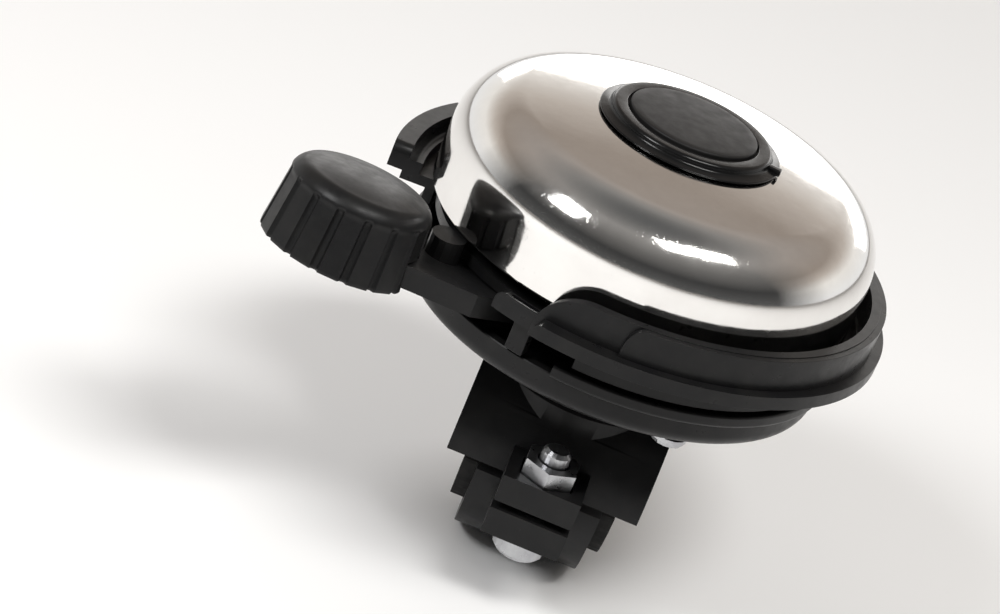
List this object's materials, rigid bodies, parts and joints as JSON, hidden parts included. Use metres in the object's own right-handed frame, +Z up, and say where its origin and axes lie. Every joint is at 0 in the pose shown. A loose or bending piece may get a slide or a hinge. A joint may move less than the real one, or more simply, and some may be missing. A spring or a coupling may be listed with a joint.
{
  "type": "bicycle bell",
  "caption": "Thumb-lever bicycle bell: polished steel gong in a guarded black base, gear-driven strikers inside, hinged handlebar clamp below.",
  "frame": {"origin": "on the handlebar's centre line, under the middle of the gong", "axes": "+Z up along the gong's axis; +X along the handlebar, with the thumb lever on the -X side; +Y away from the clamp screw, towards the strap's hinge"},
  "size_m": [0.0823, 0.0721, 0.0676],
  "materials": {
    "polished_steel": "polished plated steel with fine scratches",
    "plated_steel": "zinc-plated steel",
    "spring_steel": "drawn spring wire",
    "black_plastic": "satin black moulded plastic",
    "gloss_black": "glossy black moulded plastic",
    "nylon": "natural nylon",
    "rubber": "black rubber"
  },
  "bodies": {
    "base": {"gong_dome": "polished_steel", "cap_nut": "gloss_black", "cap_disc": "black_plastic", "gong_washer": "rubber", "gong_pillar": "nylon", "centre_post": "plated_steel", "post_nut": "plated_steel", "base_tray": "black_plastic", "lower_cover": "black_plastic", "cover_screw_1": "plated_steel", "cover_screw_2": "plated_steel", "cover_screw_3": "plated_steel", "return_spring": "spring_steel", "idler_pin": "plated_steel", "clamp_saddle": "black_plastic", "hinge_pin": "plated_steel", "clamp_nut": "plated_steel", "rubber_shim": "rubber"},
    "lever": {"thumb_lever": "black_plastic", "lever_knob": "black_plastic"},
    "idler": {"idler_gear": "nylon"},
    "rotor": {"rotor_pinion": "nylon", "rotor_arm": "plated_steel", "striker_pin_1": "plated_steel", "striker_pin_2": "plated_steel"},
    "striker_one": {"striker_1": "plated_steel"},
    "striker_two": {"striker_2": "plated_steel"},
    "strap": {"clamp_strap": "black_plastic"},
    "screw": {"clamp_screw": "plated_steel"}
  },
  "joints": [
    {"name": "lever_swing", "type": "hinge", "parent": "base", "child": "lever", "pos_m": [0, 0, 0.0268], "axis": [0, 0, 1], "range_deg": [-18, 0], "stiffness_Nm_per_rad": 0.15, "springref_deg": 34.38, "deforming": ["return_spring"]},
    {"name": "idler_spin", "type": "hinge", "parent": "base", "child": "idler", "pos_m": [0.01503, 0.00547, 0.029], "axis": [0, 0, 1], "range_deg": [-90.5, 0.5]},
    {"name": "rotor_spin", "type": "hinge", "parent": "base", "child": "rotor", "pos_m": [0, 0, 0.033], "axis": [0, 0, 1], "range_deg": [0, 197.9]},
    {"name": "striker_one_play", "type": "slide", "parent": "rotor", "child": "striker_one", "axis": [-0.342, 0.9397, 0], "range_m": [-0.0009, 0.0009]},
    {"name": "striker_two_play", "type": "slide", "parent": "rotor", "child": "striker_two", "axis": [0.342, -0.9397, 0], "range_m": [-0.0009, 0.0009]},
    {"name": "strap_hinge", "type": "hinge", "parent": "base", "child": "strap", "pos_m": [0, 0.0176, 0], "axis": [1, 0, 0], "range_deg": [0, 4]},
    {"name": "clamp_screw_travel", "type": "slide", "parent": "base", "child": "screw", "axis": [0, 0, 1], "range_m": [-0.0027, 0.0001]}
  ],
  "couplings": [
    {"joint": "lever_swing", "follows": "rotor_spin", "ratio": -0.090909},
    {"joint": "idler_spin", "follows": "rotor_spin", "ratio": -0.45455},
    {"joint": "clamp_screw_travel", "follows": "strap_hinge", "m_per_rad": -0.0371}
  ]
}
